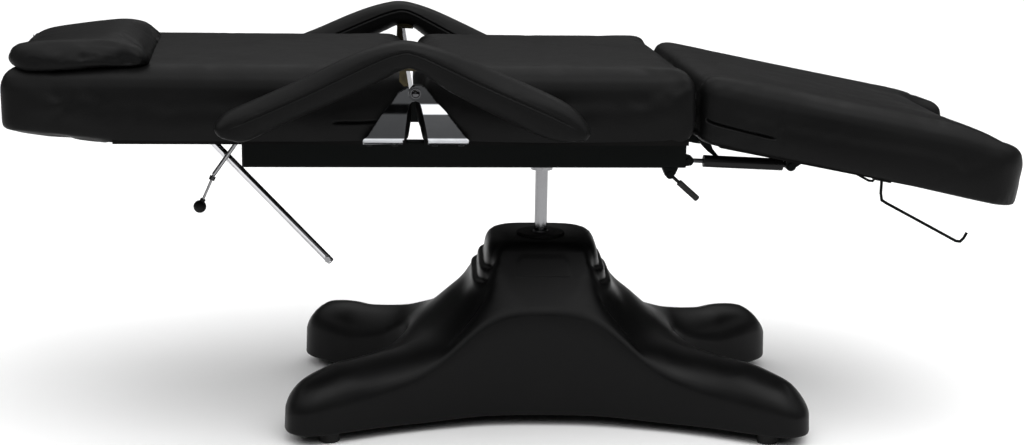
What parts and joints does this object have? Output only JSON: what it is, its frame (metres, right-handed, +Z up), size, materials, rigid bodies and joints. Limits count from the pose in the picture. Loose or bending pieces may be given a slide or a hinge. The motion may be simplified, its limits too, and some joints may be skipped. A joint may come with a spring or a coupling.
{
  "type": "massage table",
  "caption": "Padded three-section treatment bed with wedge pillow and boomerang armrests on a hydraulic column with a four-leg moulded base; backrest, leg rest, arms and column move.",
  "frame": {"origin": "on the floor under the middle of the object's box", "axes": "+X towards the foot end, +Y towards the far side (away from the gas spring), +Z up"},
  "size_m": [1.8086, 0.786, 0.7418],
  "materials": {
    "upholstery": "satin",
    "black_board": "matte",
    "frame_paint": "satin",
    "chrome": "polished",
    "steel": "satin",
    "yellow_zinc": "satin",
    "base_gloss": "gloss",
    "rubber": "matte",
    "black_plastic": "satin",
    "black_enamel": "gloss"
  },
  "bodies": {
    "base": {"base_cover": "base_gloss", "base_frame": "frame_paint", "foot_pads": "rubber", "pump_cylinder": "steel", "column_gland": "steel", "column_trim_ring": "base_gloss", "pump_block": "steel", "pedal_pin": "steel"},
    "pedal": {"pedal_arm": "frame_paint", "pedal_pad": "rubber"},
    "plunger": {"pump_plunger": "steel"},
    "lift": {"column": "chrome", "piston": "steel", "shaft_collar": "steel"},
    "bed": {"swivel_hub": "frame_paint", "side_rails": "frame_paint", "cross_members": "frame_paint", "rail_end_caps": "black_plastic", "seat_board": "black_board", "seat_cushion": "upholstery", "seat_hinge_plates": "chrome", "seat_plate_screws": "steel", "hinge_bolts": "chrome", "legrest_hinge_ears": "frame_paint", "gas_spring_clevis": "frame_paint", "lever_ears": "frame_paint", "frame_pins": "frame_paint"},
    "backrest": {"backrest_cushion": "upholstery", "backrest_board": "black_board", "backrest_hinge_plates": "chrome", "backrest_plate_screws": "steel", "pillow": "upholstery", "stay_bracket": "frame_paint", "stay_pin": "frame_paint"},
    "stay": {"stay_bar": "chrome", "stay_foot_bolt": "steel"},
    "legrest": {"legrest_cushion": "upholstery", "legrest_board": "black_board", "legrest_hinge_arms": "frame_paint", "gas_spring_leg_bracket": "frame_paint", "gas_spring_leg_pin": "frame_paint", "roll_hooks": "frame_paint"},
    "gas_tube": {"gas_spring_tube": "black_enamel", "gas_spring_guide": "black_plastic"},
    "gas_rod": {"gas_spring_rod": "steel"},
    "arm_near": {"arm_base_near": "upholstery", "arm_pad_near": "upholstery", "arm_post_near": "chrome", "arm_gusset_near": "yellow_zinc"},
    "arm_far": {"arm_base_far": "upholstery", "arm_pad_far": "upholstery", "arm_post_far": "chrome", "arm_gusset_far": "yellow_zinc"},
    "knob_lever": {"knob_lever_rod": "steel", "knob_lever_nut": "steel", "knob_lever_knob": "black_plastic"},
    "grip_lever": {"grip_lever_rod": "black_enamel", "grip_lever_grip": "rubber"}
  },
  "joints": [
    {"name": "lift_slide", "type": "slide", "parent": "base", "child": "lift", "axis": [0, 0, 1], "range_m": [-0.09, 0.08]},
    {"name": "bed_swivel", "type": "hinge", "parent": "lift", "child": "bed", "pos_m": [0.0654, 0, 0.48], "axis": [0, 0, 1], "continuous": true},
    {"name": "backrest_tilt", "type": "hinge", "parent": "bed", "child": "backrest", "pos_m": [-0.1832, 0, 0.6486], "axis": [0, 1, 0], "range_deg": [0, 55]},
    {"name": "stay_swing", "type": "hinge", "parent": "backrest", "child": "stay", "pos_m": [-0.587, 0, 0.541], "axis": [0, 1, 0], "range_deg": [-17, 43]},
    {"name": "legrest_tilt", "type": "hinge", "parent": "bed", "child": "legrest", "pos_m": [0.3134, 0, 0.546], "axis": [0, 1, 0], "range_deg": [0, 39]},
    {"name": "gas_tube_pivot", "type": "hinge", "parent": "legrest", "child": "gas_tube", "pos_m": [0.4864, -0.2455, 0.513], "axis": [0, 1, 0], "range_deg": [-1.5, 1.5]},
    {"name": "gas_rod_slide", "type": "slide", "parent": "gas_tube", "child": "gas_rod", "axis": [0.999, 0, -0.0449], "range_m": [-0.001, 0.021]},
    {"name": "arm_near_tilt", "type": "hinge", "parent": "bed", "child": "arm_near", "pos_m": [-0.1832, -0.311, 0.6486], "axis": [0, 1, 0], "range_deg": [-10, 40]},
    {"name": "arm_far_tilt", "type": "hinge", "parent": "bed", "child": "arm_far", "pos_m": [-0.1832, 0.311, 0.6486], "axis": [0, 1, 0], "range_deg": [-12, 37]},
    {"name": "knob_lever_pull", "type": "hinge", "parent": "bed", "child": "knob_lever", "pos_m": [-0.4946, -0.04, 0.536], "axis": [0, 1, 0], "range_deg": [0, 22], "stiffness_Nm_per_rad": 3, "springref_deg": -2.86},
    {"name": "grip_lever_pull", "type": "hinge", "parent": "bed", "child": "grip_lever", "pos_m": [0.2694, -0.2455, 0.497], "axis": [0, 1, 0], "range_deg": [-18, 0], "stiffness_Nm_per_rad": 3, "springref_deg": 2.86},
    {"name": "pedal_press", "type": "hinge", "parent": "base", "child": "pedal", "pos_m": [0.07168, 0.14987, 0.078], "axis": [0.9991, -0.0419, 0], "range_deg": [-12, 8], "stiffness_Nm_per_rad": 120, "springref_deg": 0.69},
    {"name": "plunger_slide", "type": "slide", "parent": "base", "child": "plunger", "axis": [0, 0, 1], "range_m": [-0.0075, 0.0105]}
  ],
  "couplings": [
    {"joint": "gas_rod_slide", "follows": "legrest_tilt", "m_per_rad": 0.0267},
    {"joint": "gas_tube_pivot", "follows": "legrest_tilt", "ratio": -0.0128},
    {"joint": "plunger_slide", "follows": "pedal_press", "m_per_rad": -0.044}
  ]
}
